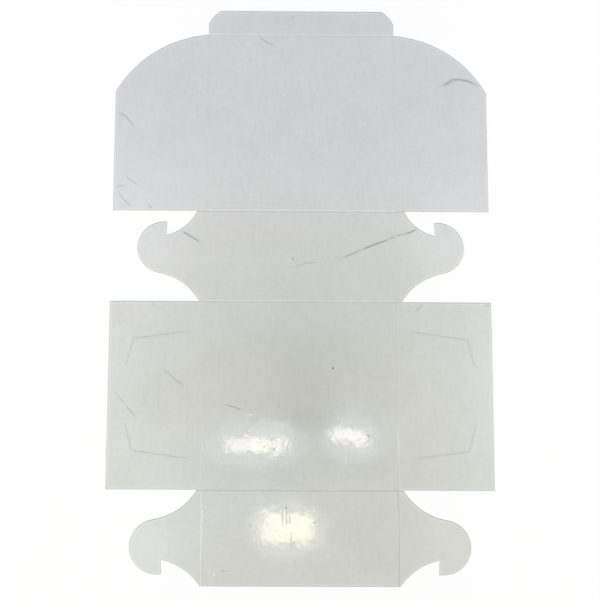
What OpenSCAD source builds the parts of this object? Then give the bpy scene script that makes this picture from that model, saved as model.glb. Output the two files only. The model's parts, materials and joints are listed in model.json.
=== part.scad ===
// Cake box of coated white board, die-cut from one sheet and lying open and flat.
// The origin is the middle of the base panel's underside. +Y runs over the back wall to the lid, +Z is up.
// The face that ends up inside the box looks up, and every panel folds up about the crown of its crease.

/* [Board] */
// Thickness of the board
board_t = 0.35; // [0.25:0.05:0.7]
// Clearance between panels that lie face to face in the closed box
fold_play = 0.2; // [0.1:0.05:0.4]
// Width of the cut between two neighbouring flaps
cut_gap = 0.4; // [0.2:0.05:0.8]

/* [Creases] */
// Width of a crease across its line
crease_w = 2.2; // [1:0.1:3]
// Height of the bead that a crease raises on the inner face
bead_h = 0.1; // [0.05:0.01:0.15]
// Depth of the channel that a crease leaves in the outer face
crease_deep = 0.14; // [0.05:0.01:0.2]

/* [Base and walls] */
// Width of the base between its side creases
base_w = 180; // [150:1:260]
// Depth of the base between its front and back creases
base_d = 178; // [150:1:260]
// Height of the front and back walls
wall_h = 88; // [76:1:110]
// How far the side walls end below the front and back walls
side_drop = 0.8; // [0:0.1:2]

/* [Locking ears] */
// Radius of the round head that hooks through the slit
head_r = 25.3; // [22:0.1:27]
// Distance from the top edge of the wall down to the top of the head
head_drop = 10.6; // [8:0.1:14]
// Reach of a back ear from its crease to the end of its head
back_ear_reach = 63.4; // [58:0.1:68]
// Reach of a front ear from its crease to the end of its head
front_ear_reach = 65.3; // [60:0.1:70]
// Distance from the ear's crease to the step of its hook
hook_reach = 36.6; // [34:0.1:39]
// Height of the step that catches in the slit
hook_step = 13.4; // [9:0.1:17]
// How far the tip of the hook leans back over its step
hook_lean = 0.5; // [0:0.1:1.5]
// Width of the ear's root beside the base, from its crease to the start of the neck curve
root_low = 5; // [3:0.1:8]
// Width of a back ear's root beside the lid
back_root_top = 8; // [4:0.1:12]
// Width of a front ear's root at the front edge
front_root_top = 1.2; // [0.5:0.1:6]
// Radius of the neck curve on the base's side, which runs into the head
neck_r = 55; // [40:1:70]
// How far the neck curve on the other side bows in from a straight line
neck_bow = 4.2; // [2:0.1:6]

/* [Locking slits] */
// Width of a slit
slit_w = 0.3; // [0.2:0.1:1.2]
// Play between the hook's step and the corner of its slit
slit_play = 0.4; // [0:0.1:1.5]
// How far a slit runs on below the neck that passes through it
slit_below = 13; // [8:0.1:18]
// How far the low end of a slit leans towards the wall's end
slit_lean = 7.4; // [4:0.1:10]
// Length of the short leg, measured along the wall
tail_run = 25.3; // [15:0.1:30]
// Rise of the short leg towards the wall's top edge
tail_rise = 6.5; // [3:0.1:9]

/* [Lid] */
// Straight stretch of a lid wing's outer side, from the lid's crease to the shoulder
wing_side = 118.5; // [90:0.5:130]
// How far the shoulder's curve bows out from a straight line
shoulder_bow = 13.6; // [6:0.1:20]
// Depth of the tuck flap
tuck_d = 24.5; // [16:0.1:34]
// Straight stretch at each end of the tuck flap
tuck_side = 11; // [5:0.1:14]
// Width of the tuck flap's rounded corner
tuck_corner = 11.5; // [6:0.1:20]
// How far the tuck flap's corner bows out from a straight line
tuck_bow = 1.4; // [0.5:0.1:3]

/* [Hidden] */
board_colour = [0.82, 0.82, 0.80];

// Number of straight steps in each curved stretch of an outline
arc_steps = 20;
// Sides of the round bar whose crown is a crease
crease_sides = 96;
// Overrun of a cutting shape past the board
over = 1;

// Thickness over the crown of a crease, which is also the height of every fold line
crown_t = board_t + bead_h;

// Each panel stands inside the one before it: side walls, then ears, then lid wings
nest_step = crown_t + fold_play;
base_x = base_w / 2;
base_y = base_d / 2;
ear_x = base_x - nest_step;
lid_x = ear_x - nest_step;
lid_y = base_y + wall_h;
lid_l = base_d - nest_step;
tuck_y = lid_y + lid_l;
tuck_x = lid_x - cut_gap / 2;
wing_l = wall_h - fold_play;
cut_back = cut_gap / 2;

// Height of the hook's tip and of the foot of its step above the base's crease
hook_tip = wall_h - head_drop;
hook_foot = hook_tip - hook_step;
head_y = hook_tip - head_r;

// Angle of a vector
function bearing(v) = atan2(v[1], v[0]);

// Points of an arc round a centre between two angles
function arc(centre, r, from, to) =
    [for (i = [0:arc_steps]) let (a = from + (to - from) * i / arc_steps) centre + r * [cos(a), sin(a)]];

// The same points from last to first
function reversed(points) = [for (i = [len(points) - 1:-1:0]) points[i]];

// Points of an arc from p to q that bows out to the right of the way from p to q
function bowed(p, q, bow) =
    let (half = norm(q - p) / 2, r = (half * half + bow * bow) / (2 * bow))
    let (along = (q - p) / (2 * half), left = [-along[1], along[0]])
    let (centre = (p + q) / 2 + left * (r - bow), from = bearing(p - centre))
    arc(centre, r, from, from + 2 * asin(half / r));

// Centre of a circle of radius r through point p that touches the circle round q from outside, on the right
function touching(p, q, r, q_r) =
    let (gap = norm(q - p), along = (q - p) / gap, right = [along[1], -along[0]])
    let (a = (r * r - (r + q_r) * (r + q_r) + gap * gap) / (2 * gap))
    p + a * along + sqrt(r * r - a * a) * right;

// The children with every crease bar's crown at the given height, rising by the given amount over its width
module crowned(top, rise) {
    $top = top;
    $rise = rise;
    children();
}

// Board with the outline of the first child. Along the creases, which are the other children,
// a bead stands on the inner face over a channel in the outer face
module creased_board() {
    color(board_colour)
        difference() {
            union() {
                linear_extrude(board_t)
                    children(0);
                intersection() {
                    linear_extrude(crown_t)
                        children(0);
                    crowned(crown_t, bead_h)
                        children([1:$children - 1]);
                }
            }
            crowned(crease_deep, crease_deep)
                children([1:$children - 1]);
        }
}

// Round bar along X whose crown has a crease's width and rise
module crease(length) {
    r = (crease_w * crease_w / 4 + $rise * $rise) / (2 * $rise);
    translate([0, 0, $top - r])
        rotate([0, 90, 0])
            cylinder(h = length + 2 * over, r = r, center = true, $fn = crease_sides);
}

// Crease along X at the given height in Y
module crease_across(length, y) {
    translate([0, y, 0])
        crease(length);
}

// Crease along Y at the given place, centred on y
module crease_along(length, x, y) {
    translate([x, y, 0])
        rotate([0, 0, 90])
            crease(length);
}

// Unit vector to the left of the way from p to q
function left_of(p, q) = let (along = (q - p) / norm(q - p)) [-along[1], along[0]];

// Narrow cut from a to b and on from b to c
module bent_cut(a, b, c) {
    first = left_of(a, b);
    last = left_of(b, c);
    mitre = (first + last) / (1 + first * last);
    half = slit_w / 2;
    polygon([
        a + half * first,
        b + half * mitre,
        c + half * last,
        c - half * last,
        b - half * mitre,
        a - half * first]);
}

// Centre of the round head of an ear with the given reach
function head_at(reach) = [reach - head_r, head_y];

// Centre of the neck curve on the base's side, which starts at the root and runs into the head
function neck_at(reach) = touching([root_low, 0], head_at(reach), neck_r, head_r);

// Height of that curve where it passes the hook's step
function neck_low(reach) =
    let (neck = neck_at(reach), dx = hook_reach - neck[0])
    neck[1] + sqrt(neck_r * neck_r - dx * dx);

// Outline of a locking ear in its own plane: X runs away from its crease, Y up from the base's crease
module ear_outline(reach, root_top) {
    head = head_at(reach);
    neck = neck_at(reach);
    touch = bearing(neck - head);
    root_angle = asin((cut_back - neck[1]) / neck_r);
    tip_angle = acos((hook_reach - hook_lean - head[0]) / head_r);
    foot = [hook_reach, hook_foot];
    root = [root_top, wall_h - cut_back];
    polygon(concat(
        [[0, cut_back]],
        arc(neck, neck_r, 180 - root_angle, 180 + touch),
        arc(head, head_r, touch, tip_angle),
        reversed(bowed(root, foot, neck_bow)),
        [[0, wall_h - cut_back]]));
}

// L-shaped slit that an ear of the given reach locks in, on the right side wall
module slit(reach) {
    corner = [base_x + hook_foot + slit_play, base_y - hook_reach + slit_play];
    low_end = [base_x + neck_low(reach) - slit_below, corner[1] + slit_lean];
    bent_cut(low_end, corner, corner + [tail_rise, -tail_run]);
}

module base() {
    creased_board() {
        square([base_w, base_d], center = true);
        for (s = [-1, 1]) {
            crease_across(base_w, s * base_y);
            crease_along(base_d, s * base_x, 0);
        }
    }
}

module side_wall_right() {
    creased_board() {
        difference() {
            translate([base_x, -base_y + cut_back])
                square([wall_h - side_drop, base_d - cut_gap]);
            slit(back_ear_reach);
            mirror([0, 1])
                slit(front_ear_reach);
        }
        crease_along(base_d, base_x, 0);
    }
}

module side_wall_left() {
    mirror([1, 0, 0])
        side_wall_right();
}

module front_wall() {
    creased_board() {
        translate([-ear_x, -base_y - wall_h])
            square([2 * ear_x, wall_h]);
        crease_across(base_w, -base_y);
        for (s = [-1, 1])
            crease_along(wall_h, s * ear_x, -base_y - wall_h / 2);
    }
}

module back_wall() {
    creased_board() {
        translate([-ear_x, base_y])
            square([2 * ear_x, wall_h]);
        crease_across(base_w, base_y);
        crease_across(base_w, lid_y);
        for (s = [-1, 1])
            crease_along(wall_h, s * ear_x, base_y + wall_h / 2);
    }
}

module back_ear_right() {
    creased_board() {
        translate([ear_x, base_y])
            ear_outline(back_ear_reach, back_root_top);
        crease_along(wall_h, ear_x, base_y + wall_h / 2);
    }
}

module back_ear_left() {
    mirror([1, 0, 0])
        back_ear_right();
}

module front_ear_right() {
    creased_board() {
        translate([ear_x, -base_y])
            mirror([0, 1])
                ear_outline(front_ear_reach, front_root_top);
        crease_along(wall_h, ear_x, -base_y - wall_h / 2);
    }
}

module front_ear_left() {
    mirror([1, 0, 0])
        front_ear_right();
}

module lid() {
    creased_board() {
        translate([-lid_x, lid_y])
            square([2 * lid_x, lid_l]);
        crease_across(base_w, lid_y);
        crease_across(base_w, tuck_y);
        for (s = [-1, 1])
            crease_along(lid_l, s * lid_x, lid_y + lid_l / 2);
    }
}

module lid_wing_right() {
    shoulder = [wing_l, wing_side];
    corner = [0, lid_l - cut_back];
    creased_board() {
        translate([lid_x, lid_y])
            polygon(concat([[0, cut_back], [wing_l, cut_back]], bowed(shoulder, corner, shoulder_bow)));
        crease_along(lid_l, lid_x, lid_y + lid_l / 2);
    }
}

module lid_wing_left() {
    mirror([1, 0, 0])
        lid_wing_right();
}

module tuck_flap() {
    corner = bowed([tuck_x, tuck_side], [tuck_x - tuck_corner, tuck_d], tuck_bow);
    creased_board() {
        translate([0, tuck_y])
            polygon(concat(
                [[tuck_x, 0]],
                corner,
                [for (p = reversed(corner)) [-p[0], p[1]]],
                [[-tuck_x, 0]]));
        crease_across(base_w, tuck_y);
    }
}

base();
side_wall_left();
side_wall_right();
front_wall();
back_wall();
front_ear_left();
front_ear_right();
back_ear_left();
back_ear_right();
lid();
lid_wing_left();
lid_wing_right();
tuck_flap();
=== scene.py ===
# %% [markdown]
# # A cake box, cut and creased, before anyone folds it
#
# The object is one flat sheet of coated white board, about 0.36 m wide and 0.56 m long, as it leaves the
# cutting die. A base in the middle carries four walls. The front and back walls carry hooked ears, and the
# back wall carries the lid with its two wings and its tuck flap.
#
# The frame that is loaded first holds thirteen plain solids, one for each panel, and the hinges between them.
# They give every outline and every crease. This lesson gives them what a plain solid lacks: pressed cut edges,
# creases with a bead, small dents from handling, and a coating that shines. Everything is worked out in
# millimetres and turned into Blender's metres when a mesh is made.

# %% Load the frame
import json
import math
import random

import bpy
import numpy as np
from mathutils import Euler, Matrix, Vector
from mathutils.geometry import delaunay_2d_cdt

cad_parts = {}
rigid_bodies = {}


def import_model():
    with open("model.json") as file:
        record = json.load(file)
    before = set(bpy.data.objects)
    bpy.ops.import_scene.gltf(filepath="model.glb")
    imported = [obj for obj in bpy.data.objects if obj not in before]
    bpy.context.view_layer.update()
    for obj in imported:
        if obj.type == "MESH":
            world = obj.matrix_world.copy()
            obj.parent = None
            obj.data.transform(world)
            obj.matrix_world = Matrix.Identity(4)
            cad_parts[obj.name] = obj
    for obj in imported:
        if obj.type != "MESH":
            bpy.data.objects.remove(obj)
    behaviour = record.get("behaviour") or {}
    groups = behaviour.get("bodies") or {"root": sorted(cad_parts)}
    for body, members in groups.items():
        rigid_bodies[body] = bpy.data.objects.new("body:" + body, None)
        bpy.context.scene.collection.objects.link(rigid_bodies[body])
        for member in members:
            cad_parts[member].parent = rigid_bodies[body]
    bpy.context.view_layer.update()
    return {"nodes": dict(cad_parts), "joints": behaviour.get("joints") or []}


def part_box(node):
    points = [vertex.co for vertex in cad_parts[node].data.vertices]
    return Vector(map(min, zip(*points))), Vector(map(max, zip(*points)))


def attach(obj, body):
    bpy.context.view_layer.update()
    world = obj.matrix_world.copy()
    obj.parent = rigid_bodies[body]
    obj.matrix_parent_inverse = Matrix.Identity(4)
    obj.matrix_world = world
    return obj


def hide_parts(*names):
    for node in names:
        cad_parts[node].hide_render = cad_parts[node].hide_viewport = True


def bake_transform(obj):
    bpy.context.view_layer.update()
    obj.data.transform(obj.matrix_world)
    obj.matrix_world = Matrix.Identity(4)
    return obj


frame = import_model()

MM = 0.001
BEAD_HEIGHT = 0.10

nodes = frame["nodes"]
crown_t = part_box("base")[1].z / MM
board_t = crown_t - BEAD_HEIGHT

# %% [markdown]
# ## The camera first
#
# The sheet is seen from high above and a little from the front. A long lens keeps its sides nearly parallel.
# The camera comes before the marks of wear, because each mark is placed by the pixel where it shows in the
# picture: a ray from the camera through that pixel meets the sheet in one point.

# %% Camera
PICTURE = 600
SENSOR = 36
LENS = 139.41
CAMERA_PLACE = (-24.1, -485.4, 2083.3)
CAMERA_TURN = (0.2697, -0.0118, 0.0019)

camera_data = bpy.data.cameras.new("camera")
camera_data.lens = LENS
camera_data.sensor_width = SENSOR
camera = bpy.data.objects.new("camera", camera_data)
camera.location = Vector(CAMERA_PLACE) * MM
camera.rotation_euler = CAMERA_TURN


def show(thing):
    """Adds an object to the scene and hands it back."""
    bpy.context.scene.collection.objects.link(thing)
    return thing


def on_sheet(across, down):
    """The point of the sheet, in millimetres, that the picture shows at this pixel."""
    focal = LENS / SENSOR * PICTURE
    ray = Vector(((across - PICTURE / 2) / focal, (PICTURE / 2 - down) / focal, -1))
    ray.rotate(Euler(CAMERA_TURN))
    reach = (board_t - CAMERA_PLACE[2]) / ray.z
    return (CAMERA_PLACE[0] + reach * ray.x, CAMERA_PLACE[1] + reach * ray.y)


bpy.context.scene.camera = show(camera)
print("the picture's middle lies at", [round(value, 1) for value in on_sheet(300, 300)], "mm on the sheet")

# %% [markdown]
# ## Wear: bends, dents and scratches
#
# Thin board remembers each careless touch. A bend is a shallow line with one lit and one shaded flank. A
# scratch is the same, only narrow. A crinkle stands up instead. They could be painted into the colour, but
# then they would not catch the light, so they are real hollows and ridges in the mesh. Each mark is a line
# through a few pixels of the picture, with a depth and a half width in millimetres, and how much darker it is
# drawn, from 0 to 1, by soiling together with painted shade in its hollow. A negative depth is a ridge.

# %% Marks on the sheet
MARKS = [
    # depth, half width, darkening by soiling and painted shade, pixels
    (0.13, 2.4, 0.85, [(439, 87), (446, 84), (452, 80), (459, 79.5), (466.5, 81), (478.5, 86)]),
    (0.06, 1.4, 0.45, [(445, 86), (453, 83), (459, 79.5)]),
    (0.08, 1.4, 0.60, [(257, 35), (265, 41.5), (275, 46)]),
    (0.08, 1.3, 0.50, [(294, 15), (291.5, 20)]),
    (0.11, 1.8, 0.55, [(117, 112), (126, 116.5), (134, 126.5)]),
    (0.05, 1.2, 0.25, [(116, 133), (119, 133.5)]),
    (0.08, 1.4, 0.50, [(125, 175), (130, 180), (139, 185)]),
    (0.09, 1.3, 0.65, [(116, 187), (125, 185)]),
    (0.07, 1.4, 0.50, [(118, 191.5), (125, 201), (131.5, 206)]),
    (0.09, 1.3, 0.65, [(148, 204.5), (152, 208.5)]),
    (0.13, 2.0, 0.80, [(181.5, 231), (190, 236), (200, 242)]),
    (0.08, 1.8, 0.70, [(342, 258), (352, 254), (362, 249.5)]),
    (0.14, 2.3, 0.85, [(360, 250.5), (375, 244.5), (390, 239)]),
    (0.09, 1.7, 0.70, [(388, 239.5), (398, 235.5), (407, 234)]),
    (0.13, 2.2, 0.85, [(405, 234.5), (411, 232), (417, 229)]),
    (0.05, 1.0, 0.60, [(288, 268.5), (300, 265), (309, 262.8), (319, 262.5)]),
    (0.06, 1.2, 0.30, [(151.5, 302), (154.5, 307)]),
    (0.05, 1.5, 0.15, [(117, 319), (121, 324.5)]),
    (0.09, 1.2, 0.65, [(161.5, 368), (172, 377), (186, 387)]),
    (0.09, 2.0, 0.25, [(113, 390), (120, 399), (125, 405)]),
    (0.10, 1.8, 0.40, [(125, 405), (130, 411), (135, 417)]),
    (0.10, 1.6, 0.50, [(415, 312.5), (423, 304.5)]),
    (0.09, 1.6, 0.50, [(484, 305), (490, 306.5)]),
    (0.12, 1.5, 0.75, [(224, 404), (235, 407.5), (243, 410.5)]),
    (-0.09, 1.5, 0.0, [(241, 409.5), (246, 412.5), (251, 414)]),
    (-0.06, 1.4, 0.0, [(250, 396), (253, 395.5)]),
    (-0.022, 1.8, 0.0, [(381, 401), (390, 415), (398, 430)]),
    (-0.018, 1.8, 0.0, [(374, 404), (383, 420)]),
    (-0.06, 1.0, 0.0, [(203, 570), (209, 571.5), (214, 574), (220, 571), (226, 569.5)]),
    (-0.06, 1.1, 0.0, [(214, 574), (213, 577)]),
    (0.08, 1.1, 0.70, [(220, 572), (226, 571)]),
    (-0.025, 1.6, 0.0, [(339, 575), (348, 568), (358, 561.5)]),
    (-0.015, 1.2, 0.0, [(330, 492), (340, 503), (345, 515)]),
    (-0.007, 0.8, 0.0, [(339.5, 510), (340.5, 562)]),
    (0.009, 0.7, 0.05, [(344, 480), (345, 562)]),
    (0.009, 0.7, 0.05, [(347.5, 480), (348, 540)]),
    (0.030, 0.6, 0.20, [(282.4, 500), (282.6, 527)]),
    (0.030, 0.6, 0.20, [(286.2, 492), (286.4, 527)]),
    (0.025, 0.6, 0.10, [(289.3, 511), (289.6, 525)]),
    (0.025, 0.6, 0.15, [(291.2, 531), (291.4, 555)]),
    (0.025, 0.6, 0.12, [(293.7, 539), (294, 552)]),
    (0.035, 1.6, 0.05, [(178, 199), (235, 197.5), (312, 201)]),
    (0.040, 1.6, 0.05, [(205, 204.5), (250, 203.5), (300, 206.5)]),
    (-0.045, 1.5, 0.0, [(182, 202), (240, 200.5), (310, 204)]),
    (-0.030, 1.5, 0.0, [(210, 207.5), (262, 206.5)]),
]


def sides_of(loop):
    """The sides of a closed loop, as pairs of neighbouring points."""
    return zip(loop, [*loop[1:], loop[0]])


def distance_to_line(points, line):
    """How far each point lies from a line of straight stretches, and how far along it, from 0 to 1."""
    ends = np.array(line, float)
    lengths = np.hypot(*(ends[1:] - ends[:-1]).T)
    before = np.concatenate([[0], np.cumsum(lengths)])
    nearest = np.full(len(points), np.inf)
    along = np.zeros(len(points))
    for number, (start, end) in enumerate(zip(ends[:-1], ends[1:])):
        way = end - start
        share = np.clip((points - start) @ way / (way @ way), 0, 1)
        gap = np.hypot(*(points - start - share[:, None] * way).T)
        closer = gap < nearest
        nearest[closer] = gap[closer]
        along[closer] = (before[number] + share[closer] * lengths[number]) / before[-1]
    return nearest, along


marks = [(deep, half, dirt_and_shade, [on_sheet(*pixel) for pixel in pixels]) for deep, half, dirt_and_shade, pixels in MARKS]
print(f"{len(marks)} marks of wear, the longest",
      f"{max(math.dist(line[0], line[-1]) for _, _, _, line in marks):.0f} mm")

# %% [markdown]
# ## The relief of the sheet
#
# Board is never quite flat. One function gives the height of the upper face at any point of the whole sheet,
# so neighbouring panels always agree along a crease. It adds a few long waves, whose directions come from a
# fixed seed, and the marks of wear. No ridge rises above the crown of a crease, so the dressed sheet stays in
# the box of the plain one. Soft light from all sides hardly shows such shallow slopes, so a second function
# says how far each flank turns to the light, and the finish makes it a little lighter or greyer.

# %% Relief function
WAVE_SEED = 4
WAVE_COUNT = 7
WAVE_HEIGHT = 0.011
LONGEST_WAVE = 120
SHORTEST_WAVE = 28
DEEPEST = 0.22
FADE_RATE = 5
FADE_LEAST = 0.25
FLANK_CURVE = 1.5
# How far a mark's darkening, soiling together with painted shade, reaches, as a share of its half width.
DARKENING_REACH = 0.55
LIGHT_WAY = (0.5, 0.87)
SLOPE_STEP = 0.15

draw = random.Random(WAVE_SEED)
waves = []
for number in range(WAVE_COUNT):
    length = LONGEST_WAVE * (SHORTEST_WAVE / LONGEST_WAVE) ** (number / (WAVE_COUNT - 1))
    heading = draw.uniform(0, math.pi)
    waves.append((length, heading, draw.uniform(0, 2 * math.pi)))


def wear_at(points):
    """Height added by the marks of wear at each point, and how much darker they are drawn there, by soiling
    together with painted shade, from 0 to 1.
    """
    height = np.zeros(len(points))
    dirt_and_shade = np.zeros(len(points))
    for deep, half, darkening, line in marks:
        gap, along = distance_to_line(points, line)
        fade = np.clip(np.minimum(along, 1 - along) * FADE_RATE, FADE_LEAST, 1)
        height -= deep * np.clip(1 - gap / half, 0, 1) ** FLANK_CURVE * fade
        dirt_and_shade = np.maximum(dirt_and_shade, darkening * np.clip(1 - gap / (DARKENING_REACH * half), 0, 1) * fade)
    return height, dirt_and_shade


def lit_flanks(points):
    """How steeply the marks of wear fall towards the light, below nought where they face away from it."""
    step = np.array(LIGHT_WAY) * SLOPE_STEP
    return (wear_at(points - step)[0] - wear_at(points + step)[0]) / (2 * SLOPE_STEP)


def relief(points):
    """Height of the upper face over its plain level, in millimetres."""
    points = np.asarray(points, float)
    height = np.zeros(len(points))
    for length, heading, shift in waves:
        way = points @ np.array([math.cos(heading), math.sin(heading)])
        height += WAVE_HEIGHT * length / LONGEST_WAVE * np.sin(2 * math.pi * way / length + shift)
    return np.clip(height + wear_at(points)[0], -DEEPEST, BEAD_HEIGHT)


print(f"waves from {SHORTEST_WAVE} to {LONGEST_WAVE} mm long")

# %% [markdown]
# ## Reading the outlines
#
# The triangles on the under side of each solid, seen from above, cover the panel's true outline, slits
# included. An edge that belongs to only one triangle is on the outline. Following such edges from corner to
# corner gives closed loops, with the board always on the left.

# %% Outline of a panel
SAME = 1e-4
FACING_DOWN = -0.5


def loops_round(faces, corners):
    """The closed loops round a set of triangles, as lists of points."""
    ways = {way for face in faces for way in sides_of(face)}
    onward = {}
    for start, end in sorted(way for way in ways if (way[1], way[0]) not in ways):
        onward.setdefault(start, []).append(end)
    loops = []
    while onward:
        first = min(onward)
        loop = [first]
        while True:
            following = onward[loop[-1]].pop()
            if not onward[loop[-1]]:
                del onward[loop[-1]]
            if following == first:
                break
            loop.append(following)
        loops.append([corners[number] for number in loop])
    return loops


def straighten(loop):
    """The loop without the points that lie on a straight stretch of it."""
    kept = []
    for before, point, after in zip([loop[-1], *loop[:-1]], loop, [*loop[1:], loop[0]]):
        into = (point[0] - before[0], point[1] - before[1])
        out = (after[0] - point[0], after[1] - point[1])
        bend = into[0] * out[1] - into[1] * out[0]
        if abs(bend) > SAME * math.hypot(*into) * math.hypot(*out):
            kept.append(point)
    return kept


def area(loop):
    """Area inside a loop, below nought if it runs clockwise."""
    return sum(a[0] * b[1] - b[0] * a[1] for a, b in sides_of(loop)) / 2


def outline_of(node):
    """The loops round a panel's under side, in millimetres."""
    mesh = nodes[node].data
    mesh.calc_loop_triangles()
    corners = []
    numbers = {}
    faces = []
    for triangle in mesh.loop_triangles:
        if triangle.normal.z > FACING_DOWN:
            continue
        places = [mesh.vertices[number].co / MM for number in triangle.vertices]
        face = []
        for place in places:
            key = (round(place.x, 3), round(place.y, 3))
            if key not in numbers:
                numbers[key] = len(corners)
                corners.append(key)
            face.append(numbers[key])
        if len(set(face)) == 3:
            faces.append(face[::-1])
    return [straighten(loop) for loop in loops_round(faces, corners)]


outlines = {node: outline_of(node) for node in nodes}
for node, loops in outlines.items():
    print(f"{node}: {len(loops[0])} corners, {len(loops) - 1} slits, {sum(map(area, loops)) / 100:.0f} cm2")

# %% [markdown]
# ## Where the creases lie
#
# Each hinge of the frame is one crease. Its line is the stretch where the outlines of its two panels touch.
# A crease gets a strip of its own, about two millimetres wide. The panels on both sides end where the strip
# begins. The strips that run across the sheet are laid first and keep their full length. Those that run up the
# sheet stop where they meet one, so no strip covers another.

# %% Crease lines
CREASE_WIDTH = 2.2
END_PLAY = 0.7
ON_LINE = 0.02


def touching_stretch(loops, along_x, line):
    """Lowest and highest place on a crease's line that an outline touches."""
    places = []
    for loop in loops:
        for point in loop:
            across = point[1] if along_x else point[0]
            if abs(across - line) < ON_LINE:
                places.append(point[0] if along_x else point[1])
    return min(places), max(places)


def common_stretch(stretches):
    """The stretch that two panels share, with an end taken further where the two nearly agree."""
    (low, high), (other_low, other_high) = stretches
    start, end = max(low, other_low), min(high, other_high)
    start = min(low, other_low) if abs(low - other_low) < END_PLAY else start
    end = max(high, other_high) if abs(high - other_high) < END_PLAY else end
    return start, end


def strip_corners(crease):
    """The rectangle of a crease's strip, as four points."""
    low, high = crease["line"] - CREASE_WIDTH / 2, crease["line"] + CREASE_WIDTH / 2
    start, end = crease["start"], crease["end"]
    if crease["along_x"]:
        return [(start, low), (end, low), (end, high), (start, high)]
    return [(low, start), (high, start), (high, end), (low, end)]


def trimmed(crease, strips):
    """The crease, shortened where it would run into a strip that is already laid."""
    way, across = (0, 1) if crease["along_x"] else (1, 0)
    half = CREASE_WIDTH / 2
    for strip in strips:
        low, high = strip[0], strip[2]
        if low[across] > crease["line"] + half or high[across] < crease["line"] - half:
            continue
        if low[way] < crease["start"] < high[way]:
            crease["start"] = high[way]
        if low[way] < crease["end"] < high[way]:
            crease["end"] = low[way]
    return crease


creases = []
strips = []
for joint in sorted(frame["joints"], key=lambda joint: -abs(joint["axis"][0])):
    along_x = abs(joint["axis"][0]) > 0.5
    line = joint["pos_m"][1 if along_x else 0] / MM
    start, end = common_stretch([touching_stretch(outlines[joint[end]], along_x, line)
                                 for end in ("parent", "child")])
    middle = np.array(outlines[joint["child"]][0]).mean(axis=0)
    side = 1 if middle[1 if along_x else 0] > line else -1
    crease = trimmed({"child": joint["child"], "parent": joint["parent"], "along_x": along_x,
                      "line": line, "start": start, "end": end, "side": side}, strips)
    creases.append(crease)
    strips.append(strip_corners(crease))
    print(f"{joint['child']}: crease at {line:.2f}, from {crease['start']:.1f} to {crease['end']:.1f} mm")

# %% [markdown]
# ## Cutting the panels to size
#
# A constrained Delaunay triangulation turns points and the edges that must stay into triangles. It is a good
# tool for cutting: the outline and the strips' rectangles go in together, and the triangles that lie inside
# the outline and outside every strip are the panel.

# %% Cut a panel back from its creases
SLIVER = 2.0
SHORTEST_EDGE = 0.6
WELD = 1e-7
BORDER = 0.01


def inside(points, loops):
    """Which points lie inside the loops and outside their holes."""
    points = np.asarray(points, float)
    within = np.zeros(len(points), bool)
    for loop in loops:
        for (ax, ay), (bx, by) in sides_of(loop):
            if ay == by:
                continue
            crosses = (ay > points[:, 1]) != (by > points[:, 1])
            within ^= crosses & (points[:, 0] < ax + (points[:, 1] - ay) * (bx - ax) / (by - ay))
    return within


def delaunay(points, edges):
    """Corners and triangles that keep the given edges, with the points that each corner came from."""
    places = [Vector(point) for point in points]
    corners, _, faces, came_from, _, _ = delaunay_2d_cdt(places, edges, [], 0, WELD)
    return [tuple(corner) for corner in corners], faces, came_from


def box_round(loops):
    """The lowest and the highest corner of the box round some loops."""
    places = np.concatenate(loops)
    return np.min(places, axis=0), np.max(places, axis=0)


def triangles(points, rings, keep):
    """Triangulates points so that the rings stay edges, and keeps the triangles that lie inside.

    A ring has the board on its left, so a triangle with a ring's edge is judged by that edge, which holds
    for the thinnest triangle too. For the others, keep judges their middles.
    """
    edges = [(ring[turn - 1], ring[turn]) for ring in rings for turn in range(len(ring))]
    corners, faces, came_from = delaunay(points, edges)
    became = {source: number for number, sources in enumerate(came_from) for source in sources}
    ways = {(became[start], became[end]) for start, end in edges}
    chosen = keep(np.array(corners)[np.array(faces)].mean(axis=1))
    kept = []
    for face, good in zip(faces, chosen):
        sides = list(sides_of(face))
        on_left = any(side in ways for side in sides)
        on_right = any((end, start) in ways for start, end in sides)
        if on_left or (good and not on_right):
            kept.append(list(face))
    return corners, kept, came_from


def in_a_strip(points, room=0.0):
    """Which points lie in some crease's strip, widened by room."""
    found = np.zeros(len(points), bool)
    for (left, low), _, (right, high), _ in strips:
        found |= ((points[:, 0] > left - room) & (points[:, 0] < right + room)
                  & (points[:, 1] > low - room) & (points[:, 1] < high + room))
    return found


def tidied(loop):
    """The loop without edges that are too short for a rolled rim; corners on a crease strip stay."""
    fixed = in_a_strip(np.array(loop), BORDER)
    kept = []
    for point, stays in zip(loop, fixed):
        if kept and math.dist(kept[-1][0], point) < SHORTEST_EDGE:
            if not stays:
                continue
            if not kept[-1][1]:
                kept.pop()
        kept.append((point, stays))
    if math.dist(kept[-1][0], kept[0][0]) < SHORTEST_EDGE:
        kept.pop(0 if kept[-1][1] else -1)
    return [point for point, _ in kept]


def cut_back(node):
    """A panel's loops without the crease strips, slivers left out."""
    loops = outlines[node]
    low, high = box_round(loops)
    near = [strip for strip in strips if np.all(np.array(strip[0]) < high + CREASE_WIDTH)
            and np.all(np.array(strip[2]) > low - CREASE_WIDTH)]
    points = [point for ring in [*loops, *near] for point in ring]
    edges = []
    for ring in [*loops, *near]:
        first = len(edges)
        edges.extend((first + turn, first + (turn + 1) % len(ring)) for turn in range(len(ring)))
    corners, faces, _ = delaunay(points, edges)
    middles = np.array(corners)[np.array(faces)].mean(axis=1)
    chosen = inside(middles, loops) & ~in_a_strip(middles)
    faces = [list(face) for face, good in zip(faces, chosen) if good]
    loops = [straighten(loop) for loop in loops_round(faces, corners) if abs(area(loop)) > SLIVER]
    return [tidied(loop) if area(loop) > 0 else loop for loop in loops]


panels = {node: cut_back(node) for node in nodes}
print("corners left:", {node: [len(loop) for loop in loops] for node, loops in panels.items()})

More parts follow.
